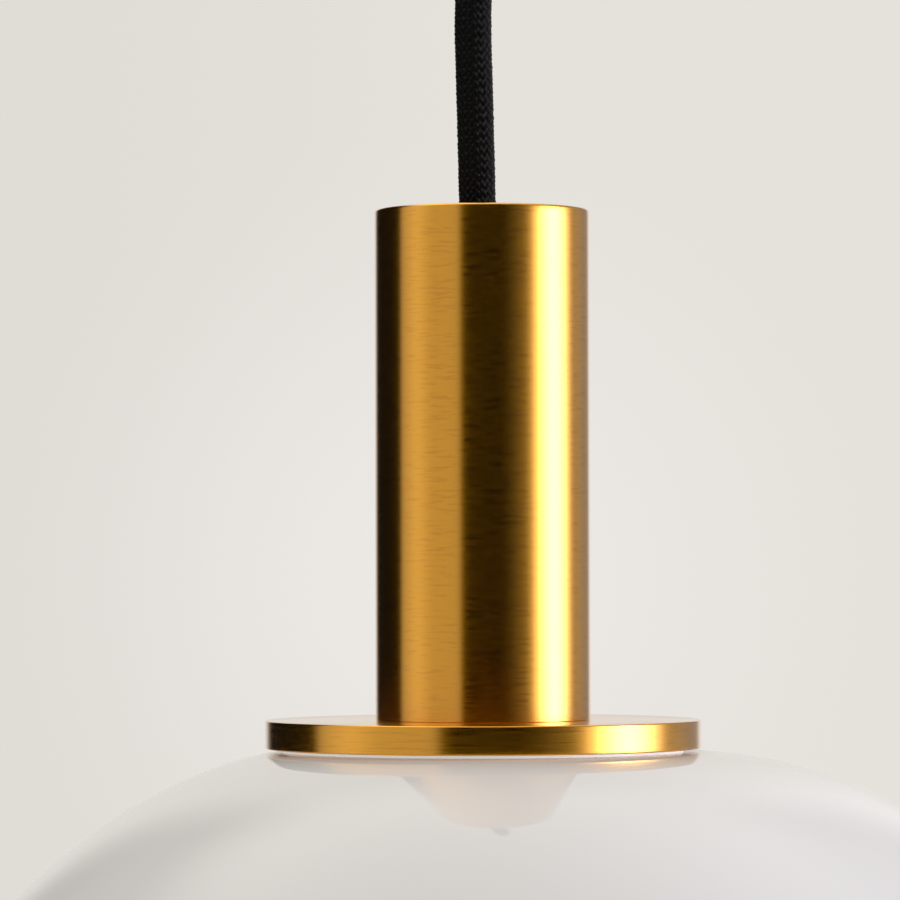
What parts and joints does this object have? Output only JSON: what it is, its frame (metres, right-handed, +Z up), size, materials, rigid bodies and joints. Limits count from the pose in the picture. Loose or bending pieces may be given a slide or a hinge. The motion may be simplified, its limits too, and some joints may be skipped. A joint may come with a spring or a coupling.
{
  "type": "pendant ceiling light",
  "caption": "Pendant ceiling light: ceiling canopy, fabric cord, tall brushed brass sleeve, brass disc and a lopsided blown opal glass shade with a screw-in bulb.",
  "frame": {"origin": "on the ceiling plane, midway between the two bracket screw holes", "axes": "+Z up, so the lamp hangs below the origin; +X towards the side the shade bulges to; -Y faces the viewer"},
  "size_m": [0.273, 0.2624, 0.4336],
  "materials": {
    "brushed_brass": "satin brass, brushed round its length",
    "zinc_steel": "zinc-plated steel",
    "green_screw": "green earth screw",
    "white_nylon": "natural nylon",
    "black_fabric": "woven black fabric braid",
    "lead_brown": "brown insulation",
    "lead_blue": "blue insulation",
    "lead_green": "green and yellow insulation",
    "connector_plastic": "moulded twist connector",
    "black_plastic": "moulded black plastic",
    "white_ceramic": "glazed white ceramic",
    "nickel_brass": "nickel-plated brass",
    "opal_glass": "glossy opal white glass",
    "clear_silicone": "clear silicone",
    "white_rubber": "white rubber",
    "solder": "solder tip",
    "black_glass": "black glass insulator",
    "clear_glass": "clear glass",
    "phosphor": "yellow phosphor strip"
  },
  "bodies": {
    "ceiling": {"mounting_bracket": "zinc_steel", "ground_screw": "green_screw", "earth_terminal": "zinc_steel", "canopy": "brushed_brass", "canopy_screws": "brushed_brass", "cord_grip_body": "brushed_brass", "cord_grip_washer": "zinc_steel", "cord_grip_nut": "brushed_brass", "cord_grip_collet": "white_nylon", "cord_grip_cap": "brushed_brass", "cord_upper_end": "black_fabric", "lead_live_upper": "lead_brown", "lead_neutral_upper": "lead_blue", "lead_earth_upper": "lead_green", "wire_connectors": "connector_plastic"},
    "cord": {"cord": "black_fabric"},
    "bush": {"sleeve_bush": "black_plastic"},
    "lamp": {"sleeve": "brushed_brass", "cord_lower_end": "black_fabric", "lead_live_lower": "lead_brown", "lead_neutral_lower": "lead_blue", "lead_earth_lower": "lead_green", "holder_cap": "zinc_steel", "holder_grip_screw": "zinc_steel", "holder_body": "black_plastic", "holder_core": "white_ceramic", "screw_shell": "nickel_brass", "centre_contact": "nickel_brass", "terminal_posts": "nickel_brass", "terminal_screws": "zinc_steel", "disc": "brushed_brass", "disc_nut": "nickel_brass"},
    "shade": {"glass_shade": "opal_glass", "upper_gasket": "clear_silicone", "lower_gasket": "white_rubber"},
    "ring": {"shade_ring": "brushed_brass"},
    "bulb_tip": {"bulb_contact": "solder"},
    "bulb": {"bulb_insulator": "black_glass", "bulb_cap": "nickel_brass", "bulb_envelope": "clear_glass", "bulb_stem": "clear_glass", "bulb_filaments": "phosphor", "filament_wires": "zinc_steel"}
  },
  "joints": [
    {"name": "cord_swing", "type": "hinge", "parent": "ceiling", "child": "cord", "pos_m": [0, 0, -0.044], "axis": [0, 1, 0], "range_deg": [-25, 25], "deforming": ["cord"]},
    {"name": "lamp_rock", "type": "hinge", "parent": "cord", "child": "bush", "pos_m": [0, 0, -0.11], "axis": [1, 0, 0], "range_deg": [-20, 20], "deforming": ["cord"]},
    {"name": "lamp_twist", "type": "hinge", "parent": "bush", "child": "lamp", "pos_m": [0, 0, -0.11], "axis": [0, 0, 1], "range_deg": [-90, 90], "stiffness_Nm_per_rad": 0.02},
    {"name": "shade_drop", "type": "slide", "parent": "lamp", "child": "shade", "axis": [0, 0, -1], "range_m": [0, 0.009]},
    {"name": "ring_turn", "type": "hinge", "parent": "shade", "child": "ring", "pos_m": [0, 0, -0.2201], "axis": [0, 0, -1], "range_deg": [0, 1082]},
    {"name": "bulb_travel", "type": "slide", "parent": "lamp", "child": "bulb_tip", "axis": [0, 0, -1], "range_m": [0, 0.02177]},
    {"name": "bulb_turn", "type": "hinge", "parent": "bulb_tip", "child": "bulb", "pos_m": [0, 0, -0.2], "axis": [0, 0, -1], "range_deg": [0, 2162]}
  ],
  "couplings": [
    {"joint": "ring_turn", "follows": "shade_drop", "rad_per_m": 2094.4},
    {"joint": "bulb_turn", "follows": "bulb_travel", "rad_per_m": 1731.4}
  ]
}
